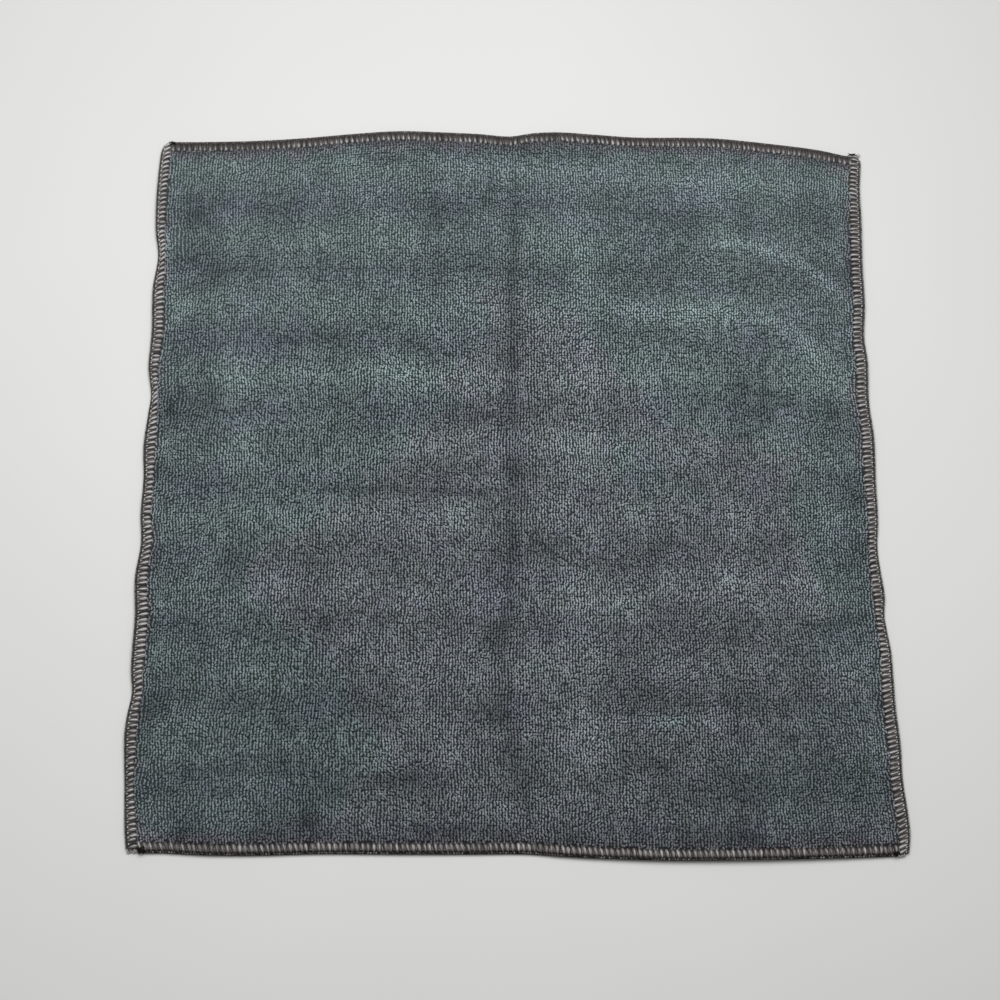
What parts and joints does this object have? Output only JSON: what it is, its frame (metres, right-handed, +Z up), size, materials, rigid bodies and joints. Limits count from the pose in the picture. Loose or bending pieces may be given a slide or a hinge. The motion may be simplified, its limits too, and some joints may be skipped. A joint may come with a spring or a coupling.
{
  "type": "microfibre cloth",
  "caption": "Square microfibre cleaning cloth with a looped pile and an overlocked hem, lying flat with soft creases.",
  "frame": {"origin": "centre of the cloth's bounding box, on the surface that it lies on", "axes": "+Z up, out of the surface; +X to the right-hand hem; +Y to the far hem"},
  "size_m": [0.403, 0.4132, 0.0044],
  "materials": {
    "pile_cloth": "matt looped pile, grey-green",
    "hem_thread": "satin sewing thread, brown-grey"
  },
  "bodies": {
    "root": {"cloth": "pile_cloth"}
  },
  "joints": []
}
